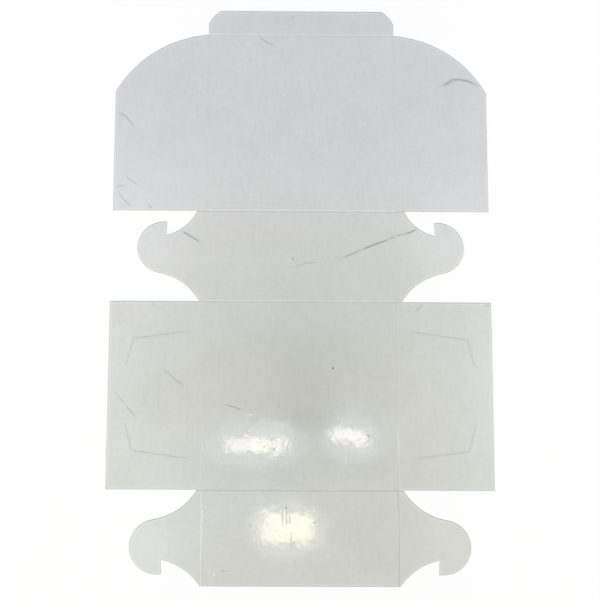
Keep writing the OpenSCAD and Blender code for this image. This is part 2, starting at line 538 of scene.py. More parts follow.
# %% [markdown]
# ## A panel's mesh
#
# The die presses the board's rim down as it cuts, so the upper face rolls off towards the edge. Two rings
# inside the outline give that roll. Within them a fine grid of points follows the relief, with more points
# along each mark of wear. The under face is flat, and a low wall joins the two. Where a panel meets a crease
# strip there is no roll, because nothing is cut there. A slit is cut by a thin knife and nearly closes again
# behind it, so each slit is drawn narrower than the blade's path in the plain solid.

# %% Rings inside an outline
GRID = 2.0
RINGS = [(0.0, 0.13), (0.14, 0.045), (0.45, 0.0)]
UNDER_ROLL = (0.12, 0.05)
NO_TURN = 0.05


def spaced(loop, step):
    """The loop with points added so that no stretch is longer than step."""
    points = []
    for (ax, ay), (bx, by) in sides_of(loop):
        count = max(1, math.ceil(math.hypot(bx - ax, by - ay) / step - 0.01))
        points.extend((ax + (bx - ax) * part / count, ay + (by - ay) * part / count) for part in range(count))
    return points


def on_a_strip(first, second):
    """Whether the edge between two points runs along the border of a crease strip."""
    middle = np.array([[(first[0] + second[0]) / 2, (first[1] + second[1]) / 2]])
    return bool(in_a_strip(middle, BORDER)[0])


def left_of(start, end):
    """The unit vector that points left of the way from start to end."""
    length = math.dist(start, end)
    return (start[1] - end[1]) / length, (end[0] - start[0]) / length


def moved_in(loop, depth):
    """The loop moved into the board by depth, except where it borders on a crease."""
    moved = []
    depths = [0.0 if on_a_strip(start, end) else depth for start, end in sides_of(loop)]
    for number, point in enumerate(loop):
        before = loop[number - 1]
        after = loop[(number + 1) % len(loop)]
        lines = []
        for start, end, inset in ((before, point, depths[number - 1]), (point, after, depths[number])):
            normal = left_of(start, end)
            lines.append((normal, normal[0] * point[0] + normal[1] * point[1] + inset))
        (first, reach), (second, other) = lines
        turn = first[0] * second[1] - first[1] * second[0]
        if abs(turn) < NO_TURN:
            inset = (depths[number - 1] + depths[number]) / 2
            moved.append((point[0] + first[0] * inset, point[1] + first[1] * inset))
        else:
            moved.append(((reach * second[1] - other * first[1]) / turn,
                          (other * first[0] - reach * second[0]) / turn))
    return moved


print("the roll is", RINGS[-1][0], "mm wide and", RINGS[0][1], "mm deep")

# %% Points over a panel
MARK_STEP = 0.9
MARK_ROWS = (0.0, 0.3, 0.65, 1.0, 1.5)
EDGE_ROWS = (0.9, 1.5, 2.4, 4.0)
ROW_ERROR = 0.05
EDGE_ROOM = 0.45
ROW_ROOM = 0.4


def rows_along(line, half):
    """Points in rows on and beside a mark of wear."""
    points = []
    for start, end in zip(line[:-1], line[1:]):
        left = left_of(start, end)
        count = max(2, round(math.dist(start, end) / MARK_STEP))
        for part in range(count + 1):
            x = start[0] + (end[0] - start[0]) * part / count
            y = start[1] + (end[1] - start[1]) * part / count
            for row in MARK_ROWS:
                for hand in ((0,) if row == 0 else (-1, 1)):
                    points.append((x + left[0] * row * half * hand, y + left[1] * row * half * hand))
    return points


mark_points = np.array([point for _, half, _, line in marks for point in rows_along(line, half)])


def gap_to_loops(points, loops):
    """How far each point lies from the nearest edge of the loops."""
    nearest = np.full(len(points), np.inf)
    for loop in loops:
        nearest = np.minimum(nearest, distance_to_line(points, [*loop, loop[0]])[0])
    return nearest


def rows_inside(loops):
    """Points in rows beside every cut edge, at the depths of EDGE_ROWS."""
    points = []
    for loop in loops:
        for start, end in sides_of(loop):
            if on_a_strip(start, end):
                continue
            left = left_of(start, end)
            points.extend((start[0] + left[0] * depth, start[1] + left[1] * depth) for depth in EDGE_ROWS)
    points = np.array(points).reshape(-1, 2)
    gaps = gap_to_loops(points, loops)
    true = np.min(np.abs(gaps[:, None] - np.array(EDGE_ROWS)), axis=1) < ROW_ERROR
    return points[true & inside(points, loops)]


def points_over(loops):
    """Grid points inside the loops, with closer points along the edges and the marks of wear."""
    low, high = box_round(loops)
    columns = np.arange(math.floor(low[0] / GRID), math.ceil(high[0] / GRID) + 1) * GRID
    rows = np.arange(math.floor(low[1] / GRID), math.ceil(high[1] / GRID) + 1) * GRID
    grid = np.stack(np.meshgrid(columns, rows), axis=-1).reshape(-1, 2)
    grid = grid[inside(grid, loops)]
    near = np.zeros(len(grid), bool)
    for _, half, _, line in marks:
        near |= distance_to_line(grid, line)[0] < MARK_ROWS[-1] * half + GRID / 3
    rows = rows_inside(loops)
    grid = grid[~near & (gap_to_loops(grid, loops) > GRID * EDGE_ROOM)]
    grid = grid[[np.min(np.hypot(*(rows - point).T), initial=GRID) > GRID * ROW_ROOM for point in grid]]
    fine = mark_points[inside(mark_points, loops)]
    fine = fine[gap_to_loops(fine, loops) > MARK_STEP / 3] if len(fine) else fine
    return [tuple(point) for point in np.concatenate([grid, rows, fine])]


print(f"{len(mark_points)} extra points along the marks")

# %% Build a panel
FACE, CUT, BACK = 0, 1, 2
SLIT_CLOSED = 0.1


class Shape:
    """Vertices and faces of one closed mesh, where a repeated place is the same vertex."""

    def __init__(self):
        self.places = []
        self.numbers = {}
        self.faces = []
        self.parts = []

    def vertex(self, x, y, z):
        key = (round(x, 5), round(y, 5), round(z, 5))
        if key not in self.numbers:
            self.numbers[key] = len(self.places)
            self.places.append((x, y, z))
        return self.numbers[key]

    def face(self, corners, part):
        ring = [corner for turn, corner in enumerate(corners) if corner != corners[turn - 1]]
        if len(set(ring)) > 2:
            self.faces.append(ring)
            self.parts.append(part)


def top_height(points):
    """Height of the upper face, in millimetres above the ground."""
    return board_t + relief(points)


def add_band(shape, outer, outer_height, inner, inner_height, part):
    """Joins two rings of equal count by a band of faces."""
    count = len(outer)
    first = [shape.vertex(x, y, z) for (x, y), z in zip(outer, outer_height)]
    second = [shape.vertex(x, y, z) for (x, y), z in zip(inner, inner_height)]
    for turn in range(count):
        after = (turn + 1) % count
        shape.face([first[turn], first[after], second[after], second[turn]], part)


def panel_shape(loops):
    """The closed shape of one panel: upper face, rolled rim, wall and under face."""
    shape = Shape()
    loops = [spaced(loop, GRID) for loop in loops]
    inner_loops = []
    for loop in loops:
        joined = [on_a_strip(start, end) for start, end in sides_of(loop)]
        cut = np.array([not (joined[turn - 1] or here) for turn, here in enumerate(joined)])
        rings = [moved_in(loop, inset) for inset, _ in RINGS]
        heights = [top_height(ring) - drop * cut for ring, (_, drop) in zip(rings, RINGS)]
        under = moved_in(loop, UNDER_ROLL[0])
        flat = np.zeros(len(loop))
        add_band(shape, loop, UNDER_ROLL[1] * cut, rings[0], heights[0], CUT)
        add_band(shape, rings[0], heights[0], rings[1], heights[1], CUT)
        add_band(shape, rings[1], heights[1], rings[2], heights[2], FACE)
        add_band(shape, under, flat, loop, UNDER_ROLL[1] * cut, BACK)
        inner_loops.append((rings[2], under))
    for level, part in ((0, FACE), (1, BACK)):
        chosen = [pair[level] for pair in inner_loops]
        points = []
        rings = []
        for ring in chosen:
            rings.append(range(len(points), len(points) + len(ring)))
            points.extend(ring)
        extra = points_over(chosen) if part == FACE else []
        corners, faces, came_from = triangles(points + extra, rings, lambda middles: inside(middles, chosen))
        exact = [(points + extra)[sources[0]] if sources else corner
                 for corner, sources in zip(corners, came_from)]
        heights = top_height(exact) if part == FACE else np.zeros(len(exact))
        numbers = [shape.vertex(x, y, z) for (x, y), z in zip(exact, heights)]
        for face in faces:
            ring = [numbers[number] for number in face]
            shape.face(ring if part == FACE else ring[::-1], part)
    return shape


panels = {node: [loop if area(loop) > 0 else moved_in(loop, -SLIT_CLOSED) for loop in loops]
          for node, loops in panels.items()}
shapes = {node: panel_shape(loops) for node, loops in panels.items()}
print(sum(len(shape.faces) for shape in shapes.values()), "faces on thirteen panels")

# %% [markdown]
# ## From numbers to a mesh
#
# The mesh also carries five numbers for each vertex, which the finish reads later. The first says how much
# darker a mark or a slit is drawn: in a mark by soiling together with painted shade, in a slit by a painted
# shadow. `rim` is 1 on the pressed rim of the cut and falls to 0 inside, and `side` is 0 where that rim faces the
# back. `tone` is painted light and shade: it makes broad patches and the flanks of the marks lighter or greyer.
# `cool` makes patches cooler, and the two at the highlights are a painted bluish reflection of the lamps.

# %% Make the panel objects
RIM_WIDTH = 4.0
# Painted shadow along each slit: how dark it is, how far it reaches in millimetres, and how far it stays fully
# dark near the cut.
SLIT_SHADOW = 0.5
SLIT_SHADOW_WIDTH = 0.40
SLIT_SHADOW_CORE = 1.3
FLANK_TONE = 0.75
TURN_OF_EDGE = math.radians(40)
# Broad patches of painted light and shade: greyer in the middle of the base, where a dark reflection is painted
# between and above the highlights, greyer on the wings, and lighter towards the outer walls and the ears.
LIGHT_AND_SHADE_PATCHES = [
    # share lighter or greyer, reach across and along in millimetres, pixel of the middle
    (-0.115, (46, 54), (304, 390)),
    (-0.085, (22, 13), (307, 417)),
    (-0.050, (85, 75), (302, 340)),
    (-0.045, (16, 2.6), (272, 419)),
    (-0.035, (30, 60), (222, 370)),
    (-0.035, (26, 60), (382, 370)),
    (-0.030, (40, 16), (228, 472)),
    (-0.045, (40, 16), (300, 472)),
    (-0.050, (40, 18), (372, 468)),
    (-0.035, (36, 40), (375, 535)),
    (-0.035, (34, 32), (152, 396)),
    (-0.022, (100, 14), (302, 22)),
    (0.145, (36, 42), (146, 545)),
    (0.050, (30, 40), (452, 545)),
    (0.095, (34, 40), (152, 250)),
    (0.100, (34, 40), (450, 250)),
    (0.045, (26, 90), (112, 400)),
    (0.070, (20, 90), (489, 395)),
    (0.030, (36, 30), (150, 455)),
    (-0.040, (60, 55), (150, 90)),
    (-0.025, (60, 50), (450, 90)),
    (0.045, (60, 26), (140, 195)),
    (0.030, (60, 26), (460, 195)),
    (0.020, (90, 30), (302, 190)),
]
# Cooler patches; the two at the highlights are a painted bluish reflection of the lamps.
COOL_AND_REFLECTION_PATCHES = [
    # share of the cooler white, then as above
    (1.0, (62, 40), (225, 478)),
    (0.6, (40, 40), (168, 540)),
    (0.4, (24, 90), (486, 380)),
    (0.5, (36, 34), (351, 440)),
]


def add_numbers(mesh, name, values):
    """Stores one number for each vertex of a mesh under a name."""
    attribute = mesh.attributes.new(name, "FLOAT", "POINT")
    attribute.data.foreach_set("value", np.asarray(values, np.float32))


def patched(points, patches):
    """The sum of soft round patches at each point."""
    total = np.zeros(len(points))
    for strength, reach, pixel in patches:
        away = (points - np.array(on_sheet(*pixel))) / np.array(reach)
        total += strength * np.exp(-(away ** 2).sum(axis=1))
    return total


def add_tones(mesh, points):
    """Stores the painted light and shade, how much lighter or greyer, and how much cooler the board is at each
    point.
    """
    add_numbers(mesh, "tone", patched(points, LIGHT_AND_SHADE_PATCHES) + lit_flanks(points) * FLANK_TONE)
    add_numbers(mesh, "cool", patched(points, COOL_AND_REFLECTION_PATCHES))


def rim_numbers(points, loops):
    """How near each point lies to the outer cut, from 1 to 0, and how little the cut faces the back."""
    rim = np.zeros(len(points))
    sideways = np.zeros(len(points))
    for loop in loops:
        for start, end in sides_of(loop):
            if on_a_strip(start, end) or area(loop) < 0:
                continue
            gap, _ = distance_to_line(points, [start, end])
            near = np.clip(1 - gap / RIM_WIDTH, 0, 1)
            closer = near > rim
            rim[closer] = near[closer]
            sideways[closer] = 1 - max(0.0, start[0] - end[0]) / math.dist(start, end)
    return rim, sideways


def finished_mesh(name, shape, loops):
    """A Blender mesh in metres from a shape in millimetres, with its vertex numbers."""
    mesh = bpy.data.meshes.new(name)
    mesh.from_pydata([(x * MM, y * MM, z * MM) for x, y, z in shape.places], [], shape.faces)
    flat = np.array(shape.places)[:, :2]
    rim, sideways = rim_numbers(flat, loops)
    add_numbers(mesh, "rim", rim)
    add_numbers(mesh, "side", sideways)
    slits = gap_to_loops(flat, [loop for loop in loops if area(loop) < 0])
    # A painted shadow along each slit, as the floor seen through the cut would lie in shade; it is stored with
    # the marks' darkening.
    slit_shadow = SLIT_SHADOW * np.clip(SLIT_SHADOW_CORE - slits / SLIT_SHADOW_WIDTH, 0, 1)
    add_numbers(mesh, "dirt_and_shade", np.maximum(wear_at(flat)[1], slit_shadow))
    add_tones(mesh, flat)
    mesh.polygons.foreach_set("material_index", shape.parts)
    mesh.shade_smooth()
    mesh.set_sharp_from_angle(angle=TURN_OF_EDGE)
    mesh.validate()
    mesh.update()
    return mesh


boards = {}
for node, shape in shapes.items():
    mesh = finished_mesh(node + "_board", shape, panels[node])
    boards[node] = show(bpy.data.objects.new(node + "_board", mesh))
    print(f"{node}_board: {len(mesh.polygons)} faces")

# %% [markdown]
# ## Creases with Geometry Nodes
#
# A creasing rule presses the board from the outside into a narrow channel, and on the inside, which faces up
# here, a round bead rises. The section is the same all along a crease and only the length differs, so it is a
# job for Geometry Nodes: one tree sweeps the section along a line, and its inputs give each crease its size.
# The section is a circle of points that the tree lays out anew, the first half from left to right along the
# top and the second half back along the bottom. A cosine makes the bead above and the channel below.

# %% [markdown]
# ### Node networks as plain sums
#
# The creases and the specks are grown by node trees, and the finishes are node trees too. A long sum is hard to
# read as nodes and easy to read in Python. So one small class wraps an output socket, and Python's own
# operators add the Math nodes. A second class starts a Geometry Nodes tree and ends it.

# %% Sums of sockets
class Wire:
    """An output socket that can be added, subtracted and multiplied like a number."""

    def __init__(self, tree, socket=None):
        self.tree = tree
        self.socket = socket

    def node(self, kind, settings=None, inputs=None, output=0):
        """Adds any other node: its settings first, then the values or links of its sockets."""
        made = self.tree.nodes.new(kind if "Node" in kind else "ShaderNode" + kind)
        for name, value in (settings or {}).items():
            setattr(made, name, value)
        for name, value in (inputs or {}).items():
            socket = next(one for one in made.inputs if name in (one.identifier, one.name))
            if isinstance(value, Wire):
                self.tree.links.new(value.socket, socket)
            else:
                socket.default_value = value
        return Wire(self.tree, made.outputs[output])

    def math(self, operation, first, second=0.0):
        return self.node("Math", {"operation": operation}, {"Value": first, "Value_001": second})

    def __add__(self, other):
        return self.math("ADD", self, other)

    def __radd__(self, other):
        return self.math("ADD", other, self)

    def __sub__(self, other):
        return self.math("SUBTRACT", self, other)

    def __rsub__(self, other):
        return self.math("SUBTRACT", other, self)

    def __mul__(self, other):
        return self.math("MULTIPLY", self, other)

    def __rmul__(self, other):
        return self.math("MULTIPLY", other, self)

    def clamped(self):
        """The same value, kept between 0 and 1."""
        return self.math("MAXIMUM", self.math("MINIMUM", self, 1.0), 0.0)

    def scaled(self, factor):
        """This colour times a number."""
        return self.node("VectorMath", {"operation": "SCALE"}, {"Vector": self, "Scale": factor})

    def tint(self, first, second):
        """A colour between two others, as this value goes from 0 to 1."""
        return self.node("Mix", {"data_type": "RGBA"}, {
            "Factor_Float": self, "A_Color": first, "B_Color": second}, output=2)


print("operators ready")

# %% The crease tree
SECTION_POINTS = 15
STRIP_STEP = 2.0


class Tree(Wire):
    """A Geometry Nodes tree with named inputs, whose result is made real and given its material."""

    def __init__(self, name):
        super().__init__(bpy.data.node_groups.new(name, "GeometryNodeTree"))
        self.source = self.tree.nodes.new("NodeGroupInput")
        self.result = self.tree.nodes.new("NodeGroupOutput")
        self.geometry = self.input("Geometry", "Geometry")
        self.tree.interface.new_socket("Geometry", in_out="OUTPUT", socket_type="NodeSocketGeometry")

    def input(self, name, kind):
        """Adds an input to the tree and hands back its wire."""
        self.tree.interface.new_socket(name, in_out="INPUT", socket_type="NodeSocket" + kind)
        return Wire(self.tree, self.source.outputs[name])

    def finish(self, geometry, material):
        """Makes the geometry real, coats it and hands back the finished tree."""
        solid = self.node("GeometryNodeRealizeInstances", inputs={"Geometry": geometry})
        coated = self.node("GeometryNodeSetMaterial", inputs={"Geometry": solid, "Material": material})
        self.tree.links.new(coated.socket, self.result.inputs[0])
        return self.tree


def crease_tree():
    """Sweeps the section of a crease along a straight line on the X axis."""
    tree = Tree("Crease")
    length = tree.input("Length", "Float")
    steps = tree.input("Steps", "Int")
    width = tree.input("Width", "Float")
    thick = tree.input("Board Thickness", "Float")
    bead = tree.input("Bead Height", "Float")
    channel = tree.input("Channel Depth", "Float")
    material = tree.input("Material", "Material")
    index = tree.node("GeometryNodeInputIndex")
    below = tree.math("GREATER_THAN", index, SECTION_POINTS - 0.5)
    share = tree.math("DIVIDE", tree.math("MODULO", index, SECTION_POINTS), SECTION_POINTS - 1)
    turned = (share * 2.0 - 1.0) * (1.0 - below * 2.0)
    arch = tree.math("POWER", tree.math("COSINE", turned * (math.pi / 2)), 2.0)
    top = thick + arch * bead
    height = top * (1.0 - below) + arch * channel * below
    place = tree.node("CombineXYZ", inputs={"X": turned * 0.5 * width, "Y": height * -1.0})
    ring = tree.node("GeometryNodeCurvePrimitiveCircle", inputs={"Resolution": 2 * SECTION_POINTS})
    section = tree.node("GeometryNodeSetPosition", inputs={"Geometry": ring, "Position": place})
    end = tree.node("CombineXYZ", inputs={"X": length})
    line = tree.node("GeometryNodeCurvePrimitiveLine", inputs={"End": end})
    path = tree.node("GeometryNodeResampleCurve", inputs={"Curve": line, "Count": steps})
    swept = tree.node("GeometryNodeCurveToMesh", inputs={
        "Curve": path, "Profile Curve": section, "Fill Caps": True})
    return tree.finish(swept, material)


def run_tree(name, group, values, source=None):
    """Runs a tree on a mesh and returns the result as a plain mesh."""
    carrier = show(bpy.data.objects.new("carrier", source or bpy.data.meshes.new("carrier")))
    modifier = carrier.modifiers.new("tree", "NODES")
    modifier.node_group = group
    for socket in group.interface.items_tree:
        if socket.in_out == "INPUT" and socket.name in values:
            modifier[socket.identifier] = values[socket.name]
    graph = bpy.context.evaluated_depsgraph_get()
    mesh = bpy.data.meshes.new_from_object(carrier.evaluated_get(graph), depsgraph=graph)
    mesh.name = name
    bpy.data.objects.remove(carrier)
    return mesh


crease_group = crease_tree()
print("the crease tree has", len(crease_group.nodes), "nodes")

# %% [markdown]
# ## Finishes
#
# The board is white pulp with a clay coating that was pressed smooth. The coating is the gloss: its faint
# waviness breaks up the reflection of each lamp. Under it lies a barely mottled tone, warmer at the front, cooler
# at the lid, with painted light and shade in broad patches and on the flanks of marks and creases, and cooler
# patches, two of them a painted bluish reflection at the highlights. Just inside the outer cut, where the rim
# rolls off, a thin bright line is a painted highlight, and painted light grows towards the cut; a darker line
# runs along the cut, wider and cooler where the cut faces the back. Soiling and painted shade darken the marks,
# and a painted shadow darkens the slits. Each of these is a mask between 0 and 1, and the finish is a sum of
# masks, so the same class writes it down.

# %% New materials
def new_material(name):
    """An empty material with a Principled shader, its starting wire and the shader node."""
    material = bpy.data.materials.new(name)
    material.use_nodes = True
    tree = material.node_tree
    return material, Wire(tree), tree.nodes["Principled BSDF"]


def plug(shader, name, wire):
    """Links a wire to one of the shader's sockets."""
    wire.tree.links.new(wire.socket, shader.inputs[name])


print("ready to mix finishes")

# %% The coated face
LID_WHITE = (0.633, 0.637, 0.650, 1)
FRONT_WHITE = (0.638, 0.650, 0.600, 1)
COOL_WHITE = (0.638, 0.651, 0.644, 1)
WARM_CUT = (0.46, 0.41, 0.375, 1)
COOL_CUT = (0.38, 0.40, 0.43, 1)
# Cream tint of the painted glint where the cut faces the sides or the front.
CREAM = (1.0, 0.98, 0.955)
# Colour of the soiling and painted shade in the marks, and of the painted shadow along the slits.
GRIME_AND_SHADE = (0.24, 0.26, 0.26, 1)
MOTTLE = 0.18
GRAIN = 0.12
FLANK = 0.30
# A painted highlight along the rim of the cut: where it lies and how it falls off, in millimetres, and how bright
# it is, then painted light that grows towards the cut.
GLINT_PLACE = 1.35
GLINT_SLOPE = 0.9
GLINT = 0.085
NEAR_RIM = 0.03
CUT_SHARPNESS = 3.0
CUT_WIDTH = 0.95
SIDE_CUT_LESS = 0.40
WHITE_END = 0.23
BASE_SIDE = 0.09
WALL_HEIGHT = 0.088
WALL_WHITE = 0.4
SMOOTHEST = 0.026
UNEVEN = 0.05
MATT_RIM = 0.5
MATT_FROM = 0.6
PEEL_DEPTH = 0.00003
STIPPLE = 0.4


def attribute(start, name):
    """A wire with one of the numbers that the mesh carries."""
    return start.node("Attribute", {"attribute_name": name}, output=2)


def noise(start, place, scale, detail=2.0):
    """A soft random pattern, with its scale in waves for each metre."""
    return start.node("TexNoise", {"noise_dimensions": "3D"}, {
        "Vector": place, "Scale": scale, "Detail": detail, "Roughness": 0.5})


def coated_face():
    """White coated board: faint mottling, painted light and shade, marks darkened by soiling and painted shade, a
    painted shadow along the slits, a darker cut line with a painted glint inside it, and a gloss that is slightly
    uneven.
    """
    material, start, shader = new_material("coated_board")
    place = start.node("TexCoord", output=3)
    across = start.math("ABSOLUTE", start.node("SeparateXYZ", inputs={"Vector": place}, output=0))
    along = start.node("SeparateXYZ", inputs={"Vector": place}, output=1)
    backwards = (along * (1 / WHITE_END)).clamped()
    outwards = ((across - BASE_SIDE) * (1 / WALL_HEIGHT)).clamped()
    paper = (backwards + outwards * WALL_WHITE).clamped().tint(FRONT_WHITE, LID_WHITE)
    # Cooler patches, two of them a painted bluish reflection at the highlights.
    paper = attribute(start, "cool").clamped().tint(paper, COOL_WHITE)
    drawn = start.node("Mapping", inputs={"Vector": place, "Scale": (1.0, 0.12, 1.0)})
    cloud = noise(start, place, 30, 3) * 0.5 + noise(start, place, 150, 2) * 0.5
    grain = noise(start, place, 420, 1) * 0.5 + noise(start, drawn, 420, 1) * 0.5
    rim = attribute(start, "rim")
    side = attribute(start, "side")
    depth = (1.0 - rim) * RIM_WIDTH
    # A painted highlight just inside the outer cut, cream where the cut faces the sides or the front, and painted
    # light growing towards the cut.
    glint = (1.0 - start.math("ABSOLUTE", depth - GLINT_PLACE) * GLINT_SLOPE).clamped()
    # Painted light and shade: the broad patches and the flanks of the marks and of the creases.
    shade = 1.0 + attribute(start, "tone") + attribute(start, "fold") * FLANK
    shade = shade + glint * GLINT + rim * rim * NEAR_RIM
    shade = shade + (cloud - 0.5) * MOTTLE + (grain - 0.5) * GRAIN
    plain = paper.scaled(shade)
    creamed = start.node("VectorMath", {"operation": "MULTIPLY"}, {"Vector": plain, "Vector_001": CREAM})
    white = (glint * side).tint(plain, creamed)
    cut = side.tint(COOL_CUT, WARM_CUT)
    rimmed = ((CUT_WIDTH - side * SIDE_CUT_LESS - depth) * CUT_SHARPNESS).clamped().tint(white, cut)
    # The marks darkened by soiling and painted shade, the slits by a painted shadow.
    plug(shader, "Base Color", attribute(start, "dirt_and_shade").clamped().tint(rimmed, GRIME_AND_SHADE))
    uneven = noise(start, place, 330, 2)
    plug(shader, "Roughness", SMOOTHEST + uneven * UNEVEN + (rim - MATT_FROM).clamped() * MATT_RIM)
    peel = noise(start, place, 120, 1) + noise(start, place, 260, 2) * STIPPLE
    plug(shader, "Normal", start.node("Bump", inputs={
        "Strength": 1.0, "Distance": PEEL_DEPTH, "Height": peel}))
    shader.inputs["IOR"].default_value = 1.5
    return material


print("grime is", GRIME_AND_SHADE[:3], "and the rim of the cut", WARM_CUT[:3])

# %% The cut edge and the under face
PALE_FIBRE = (0.72, 0.70, 0.67, 1)
BACK_WHITE = (0.66, 0.66, 0.64, 1)
BACK_CLOUD = (0.62, 0.62, 0.60, 1)
BACK_GRAIN = 0.00002


def cut_pulp():
    """The cut edge: bare pulp, warmer than the coating and quite matt."""
    material, start, shader = new_material("cut_pulp")
    place = start.node("TexCoord", output=3)
    edge = attribute(start, "side").tint(COOL_CUT, WARM_CUT)
    fibres = (0.35 + noise(start, place, 1400, 3) * 0.3).clamped()
    plug(shader, "Base Color", fibres.tint(edge, PALE_FIBRE))
    shader.inputs["Roughness"].default_value = 0.8
    return material


def uncoated_back():
    """The under face, which becomes the outside of the box: the same white, only less polished."""
    material, start, shader = new_material("board_back")
    place = start.node("TexCoord", output=3)
    plug(shader, "Base Color", noise(start, place, 40, 4).tint(BACK_WHITE, BACK_CLOUD))
    plug(shader, "Roughness", 0.42 + noise(start, place, 600, 2) * 0.12)
    plug(shader, "Normal", start.node("Bump", inputs={
        "Strength": 1.0, "Distance": BACK_GRAIN, "Height": noise(start, place, 1100, 3)}))
    return material


finishes = [coated_face(), cut_pulp(), uncoated_back()]
print("finishes:", [material.name for material in finishes])

# %% [markdown]
# ### Each panel takes its place
#
# A panel replaces its plain solid and moves with its body. A crease strip is laid between its two panels. On the
# real sheet the bead is one rounded fold of board. Its two flanks catch the light differently, and `fold` says
# how much lighter or greyer each one is.

# %% Coat the panels and let them ride
for node, board in boards.items():
    for material in finishes:
        board.data.materials.append(material)
    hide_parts(node)
    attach(board, node)
print(len(boards), "panels ride on their bodies")

# %% Lay the creases
CHANNEL_DEPTH = 0.14
MIDDLE_ROW = 0.5
BEND_WIDTH = 1.4
FLANK_PLACE = 0.5
FLANK_SPREAD = 0.42
FOLD_TONES = {
    # how much lighter a crease's outer flank and its inner flank are, below nought for greyer, and how far
    # both lie outwards
    "tuck_flap": (0.75, -0.40, -0.1), "lid": (1.1, -0.9, 0.1), "back_wall": (0.9, -0.8, 0.0),
    "front_wall": (-1.0, 0.1, 0.0), "front_ear_left": (0.8, -0.6, -0.3), "front_ear_right": (0.7, -0.8, 0.7),
    "back_ear_left": (0.08, -0.07, 0.0), "back_ear_right": (0.08, -0.07, 0.0),
    "side_wall_left": (0.05, -0.12, -0.3), "side_wall_right": (0.25, -0.15, 0.0),
    "lid_wing_left": (0.0, -0.08, 0.0), "lid_wing_right": (0.0, -0.07, 0.0),
}


def crease_object(crease):
    """One crease strip: swept by the tree, turned into place and laid on the relief."""
    length = crease["end"] - crease["start"]
    mesh = run_tree(crease["child"] + "_crease", crease_group, {
        "Length": length, "Steps": max(2, round(length / STRIP_STEP) + 1), "Width": CREASE_WIDTH,
        "Board Thickness": board_t, "Bead Height": BEAD_HEIGHT, "Channel Depth": CHANNEL_DEPTH,
        "Material": finishes[FACE]})
    places = np.zeros(len(mesh.vertices) * 3)
    mesh.vertices.foreach_get("co", places)
    places = places.reshape(-1, 3)
    along, across, height = places[:, 0] + crease["start"], places[:, 1], places[:, 2]
    flat = np.stack([along, crease["line"] + across] if crease["along_x"]
                    else [crease["line"] - across, along], axis=1)
    upper = height > board_t * MIDDLE_ROW
    height = np.where(upper, np.minimum(height + relief(flat), crown_t), height)
    solid = np.column_stack([flat, height]) * MM
    mesh.vertices.foreach_set("co", solid.astype(np.float32).ravel())
    # The marks' darkening, soiling together with painted shade, on the upper face of the strip.
    add_numbers(mesh, "dirt_and_shade", wear_at(flat)[1] * upper)
    for name in ("rim", "side"):
        add_numbers(mesh, name, np.zeros(len(flat)))
    add_tones(mesh, flat)
    outward = (flat[:, 1 if crease["along_x"] else 0] - crease["line"]) * crease["side"]
    outer, inner, shift = FOLD_TONES[crease["child"]]
    fold = outer * np.exp(-((outward - FLANK_PLACE - shift) / FLANK_SPREAD) ** 2)
    fold += inner * np.exp(-((outward + FLANK_PLACE - shift) / FLANK_SPREAD) ** 2)
    add_numbers(mesh, "fold", fold)
    mesh.update()
    return show(bpy.data.objects.new(mesh.name, mesh))


for crease in creases:
    strip = crease_object(crease)
    strip.data.materials.append(finishes[BACK])
    for polygon in strip.data.polygons:
        if polygon.normal.z < FACING_DOWN:
            polygon.material_index = 1
    strip.data.shade_smooth()
    strip.data.set_sharp_from_angle(angle=TURN_OF_EDGE)
    centre = (crease["start"] + crease["end"]) / 2
    near = crease["line"] - crease["side"] * BEND_WIDTH / 2
    far = crease["line"] + crease["side"] * BEND_WIDTH / 2
    ends = [(centre, near), (centre, far)] if crease["along_x"] else [(near, centre), (far, centre)]
    start, end = [(x * MM, y * MM, crown_t * MM) for x, y in ends]
    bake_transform(strip)
    highest = max(vertex.co.z for vertex in strip.data.vertices) / MM
    print(f"{strip.name}: {len(strip.data.vertices)} vertices, up to {highest:.2f} mm high")

# %% [markdown]
# ## Specks in the coating
#
# Specks sit in the coating, most of them less than a millimetre wide: dark grit and pulp, and light points, many
# of them round the highlights and on the crinkle at the front wall. They repeat by the dozen, so Geometry Nodes
# lay them: a tree puts a flat grain on each point of a mesh that has only points, turned at random from a fixed
# seed. The clear ones are listed one by one, the rest are drawn at random over the sheet.
# Each panel gets one mesh of specks, which moves with it.

# %% Speck tree
SPECK_SEED = 11
SPECK_TALL = 0.05
SPECKS = [
    # radius, tone (0 dark, 1 light), pixel
    (0.50, 0.95, (284, 95)), (0.45, 0.95, (318, 94)), (0.40, 0.95, (348, 98)),
    (0.40, 0.25, (214, 95)), (0.45, 0.20, (224, 108.5)), (0.35, 0.30, (193, 88)), (0.40, 0.25, (422, 115)),
    (0.70, 0.10, (292.8, 258.5)), (0.85, 0.0, (333, 368.2)), (0.40, 0.3, (322.5, 390)),
    (0.60, 0.05, (274, 449)), (0.50, 0.05, (272, 440)), (0.55, 0.1, (331, 437)), (0.55, 0.1, (368.6, 436)),
    (0.65, 0.05, (289.6, 492)), (0.75, 0.05, (286.4, 508)), (0.60, 0.15, (250.7, 525.5)),
    (0.60, 0.15, (314.5, 522.8)), (0.45, 0.3, (178, 382.5)), (0.45, 0.8, (156.5, 401)),
    (0.7, 1.0, (338, 418.7)), (0.55, 1.0, (363, 452.7)), (0.65, 1.0, (345.7, 462)), (0.4, 1.0, (340.5, 461.8)),
    (0.55, 1.0, (257, 461.5)), (0.6, 1.0, (276, 461.7)), (0.5, 1.0, (284, 455.6)), (0.4, 1.0, (222, 463)),
    (0.4, 1.0, (240, 462.5)), (0.6, 1.0, (249, 430.8)), (0.8, 1.0, (214, 574.5)), (0.5, 1.0, (209, 571.7)),
    (0.5, 1.0, (225.5, 570)), (0.45, 1.0, (204, 570)),
]
RANDOM_SPECKS = 90
RANDOM_PLACES = ((-178, 178), (-178, 378))
RANDOM_SIZES = (0.16, 0.34)
RANDOM_TONES = (0.28, 0.36, 0.92)
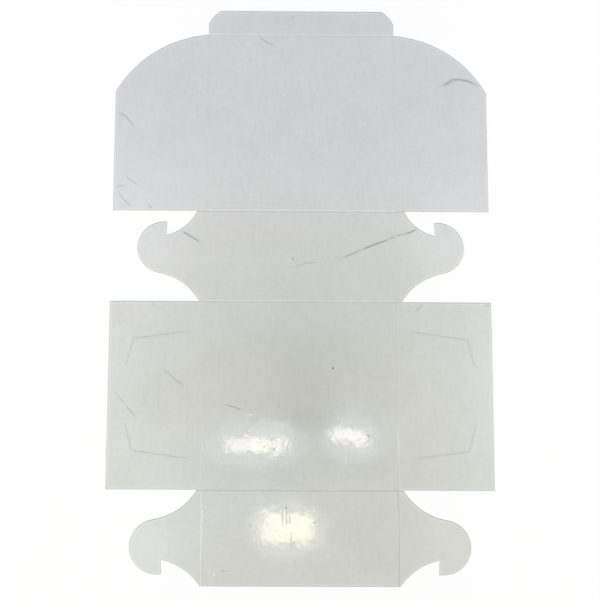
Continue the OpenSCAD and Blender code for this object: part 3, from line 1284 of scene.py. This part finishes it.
SPECK_LENGTH = 1.25
SPECK_SUNK = 0.3
SPECK_ROOM = 1.5


def speck_tree():
    """Puts a flattened grain on every point, with the size that the point carries."""
    tree = Tree("Specks")
    seed = tree.input("Seed", "Int")
    tall = tree.input("Speck Height", "Float")
    material = tree.input("Material", "Material")
    points = tree.node("GeometryNodeMeshToPoints", inputs={"Mesh": tree.geometry})
    grain = tree.node("GeometryNodeMeshIcoSphere", inputs={"Radius": 1.0, "Subdivisions": 2})
    size = tree.node("GeometryNodeInputNamedAttribute", {"data_type": "FLOAT"}, {"Name": "size"})
    scale = tree.node("CombineXYZ", inputs={"X": size * SPECK_LENGTH, "Y": size, "Z": tall})
    turn = tree.node("FunctionNodeRandomValue", {"data_type": "FLOAT"}, {
        "Max_001": math.pi, "Seed": seed}, output=1)
    spin = tree.node("CombineXYZ", inputs={"Z": turn})
    laid = tree.node("GeometryNodeInstanceOnPoints", inputs={
        "Points": points, "Instance": grain, "Rotation": spin, "Scale": scale})
    return tree.finish(laid, material)


speck_group = speck_tree()
print("the speck tree has", len(speck_group.nodes), "nodes")

# %% Speck finish and specks
DARK_GRIT = (0.10, 0.11, 0.10, 1)
# Colour of the light specks: random ones, and the listed white points round the highlights and on the front
# crinkle.
LIGHT_SPECK = (0.92, 0.92, 0.92, 1)


def speck_finish():
    """Specks from near black to white, as the tone that each grain carries says."""
    material, start, shader = new_material("speck")
    plug(shader, "Base Color", attribute(start, "tone").tint(DARK_GRIT, LIGHT_SPECK))
    shader.inputs["Roughness"].default_value = 0.45
    return material


def draw_specks():
    """Every speck as (x, y, radius, tone): the clear ones, then the random ones."""
    found = [(*on_sheet(*pixel), radius, tone) for radius, tone, pixel in SPECKS]
    dice = random.Random(SPECK_SEED)
    for _ in range(RANDOM_SPECKS):
        x, y = [dice.uniform(*stretch) for stretch in RANDOM_PLACES]
        found.append((x, y, dice.uniform(*RANDOM_SIZES), dice.choice(RANDOM_TONES)))
    return found


speck_material = speck_finish()
all_specks = np.array(draw_specks())
for node, loops in panels.items():
    here = all_specks[inside(all_specks[:, :2], loops)]
    here = here[gap_to_loops(here[:, :2], loops) > SPECK_ROOM] if len(here) else here
    if not len(here):
        continue
    low = np.minimum(top_height(here[:, :2]) - SPECK_TALL * SPECK_SUNK, crown_t - SPECK_TALL) * MM
    seeds = bpy.data.meshes.new(node + "_speck_points")
    seeds.from_pydata(np.column_stack([here[:, :2] * MM, low]).tolist(), [], [])
    add_numbers(seeds, "size", here[:, 2] * MM)
    add_numbers(seeds, "tone", here[:, 3])
    mesh = run_tree(node + "_specks", speck_group, {
        "Seed": SPECK_SEED, "Speck Height": SPECK_TALL * MM, "Material": speck_material}, seeds)
    mesh.shade_smooth()
    specks = show(bpy.data.objects.new(node + "_specks", mesh))
    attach(specks, node)
    print(f"{specks.name}: {len(here)} specks")

# %% [markdown]
# ## Floor, lamps and background
#
# The floor and the backdrop are white to the camera and to reflections. To all other rays the floor is plain
# matt board, so it keeps the sheet's thin shadow. Four long soft lamps stand low around the sheet. Their light
# falls off towards the middle, as it does in a light tent. They give no mirror image, as if they wore
# polarising film, or the gloss would wash out the board from the sides. The small lamps above are the other way
# round: they add almost no light, but their mirror images are the highlights on the base and the front wall.

# %% Floor and background
FLOOR_SIZE = 8.0
FLOOR_GAP = 0.02
FLOOR_GLOW = 0.85
FLOOR_WHITE = (0.92, 0.92, 0.92, 1)
AMBIENT = 0.16


def seen_plainly(start):
    """1 for rays that the eye follows straight, in a mirror or through glass, and 0 for the others."""
    camera_ray, glossy_ray, through_ray = [start.node("LightPath", output=number) for number in (0, 3, 6)]
    return (camera_ray + glossy_ray + through_ray).clamped()


def floor_finish():
    """Matt white, mixed with plain white light for the rays that the eye follows."""
    material, start, shader = new_material("floor_white")
    nodes_of, link = material.node_tree.nodes, material.node_tree.links.new
    shader.inputs["Base Color"].default_value = FLOOR_WHITE
    shader.inputs["Roughness"].default_value = 1.0
    shader.inputs["Specular IOR Level"].default_value = 0.0
    glow = start.node("Emission", inputs={"Color": (1, 1, 1, 1), "Strength": 1.0})
    mixed = nodes_of.new("ShaderNodeMixShader")
    link((seen_plainly(start) * FLOOR_GLOW).socket, mixed.inputs[0])
    link(shader.outputs[0], mixed.inputs[1])
    link(glow.socket, mixed.inputs[2])
    link(mixed.outputs[0], nodes_of["Material Output"].inputs[0])
    return material


reach = FLOOR_SIZE / 2
corners = [(-reach, -reach), (reach, -reach), (reach, reach), (-reach, reach)]
floor_mesh = bpy.data.meshes.new("floor")
floor_mesh.from_pydata([(x, y, -FLOOR_GAP * MM) for x, y in corners], [], [(0, 1, 2, 3)])
floor_mesh.materials.append(floor_finish())
floor = show(bpy.data.objects.new("floor", floor_mesh))

world = bpy.data.worlds.new("studio")
bpy.context.scene.world = world
world.use_nodes = True
world_start = Wire(world.node_tree)
background = world.node_tree.nodes["Background"]
background.inputs["Strength"].default_value = 1.0
tone = seen_plainly(world_start).tint((AMBIENT, AMBIENT, AMBIENT, 1), (1, 1, 1, 1))
world.node_tree.links.new(tone.socket, background.inputs["Color"])
bpy.context.scene.view_settings.view_transform = "Standard"
print("floor and background are white")

# %% Lamps
SOFT_LAMPS = {
    # place, size, radiance, colour
    "left_lamp": ((-520, 120, 330), (900, 300), 3.30, (1.0, 1.0, 0.99)),
    "right_lamp": ((520, 120, 330), (900, 300), 3.05, (0.99, 1.0, 0.99)),
    "front_lamp": ((0, -560, 380), (800, 300), 2.14, (0.99, 1.0, 0.92)),
    "back_lamp": ((0, 760, 380), (800, 300), 1.80, (0.98, 0.98, 1.05)),
}
SOFT_AIM = (0, 100, 0)
HANG = 1000
HIGHLIGHTS = {
    # pixel of the mirror image, size, radiance, colour
    "left_glow": ((257, 443), (132, 68), 1.3, (0.80, 0.90, 1.36)),
    "left_spark": ((241.5, 443), (40, 18), 8.0, (1.07, 0.945, 0.87)),
    "left_tail": ((270, 446), (42, 15), 9.2, (1.05, 0.98, 0.68)),
    "left_sheen": ((273, 434), (50, 30), 1.6, (1.0, 1.0, 0.86)),
    "right_glow": ((351, 439), (80, 68), 1.5, (0.80, 0.90, 1.32)),
    "right_spark": ((349, 438), (48, 15), 10.2, (1.07, 0.92, 0.90)),
    "front_glow": ((288, 530), (108, 82), 1.8, (1.0, 1.0, 0.84)),
    "front_spark": ((288.5, 527.5), (68, 38), 7.8, (1.01, 0.98, 0.71)),
}


def hang_lamp(name, place, aim, size, radiance, colour):
    """A flat lamp at a place in millimetres, turned to face the aim."""
    lamp = bpy.data.lights.new(name, "AREA")
    lamp.shape = "ELLIPSE" if name.endswith("glow") else "RECTANGLE"
    lamp.size, lamp.size_y = size[0] * MM, size[1] * MM
    covered = lamp.size * lamp.size_y * (1 if lamp.shape == "RECTANGLE" else math.pi / 4)
    lamp.energy = radiance * math.pi * covered
    lamp.color = colour
    holder = bpy.data.objects.new(name, lamp)
    holder.location = Vector(place) * MM
    holder.rotation_euler = (Vector(place) - Vector(aim)).to_track_quat("Z", "Y").to_euler()
    holder.visible_glossy = name not in SOFT_LAMPS
    return show(holder)


for name, (place, size, radiance, colour) in SOFT_LAMPS.items():
    hang_lamp(name, place, SOFT_AIM, size, radiance, colour)
for name, (pixel, size, radiance, colour) in HIGHLIGHTS.items():
    x, y = on_sheet(*pixel)
    mirror = HANG / CAMERA_PLACE[2]
    place = (x + (x - CAMERA_PLACE[0]) * mirror, y + (y - CAMERA_PLACE[1]) * mirror, HANG)
    hang_lamp(name, place, (x, y, 0), size, radiance, colour)
print(len(SOFT_LAMPS) + len(HIGHLIGHTS), "lamps")
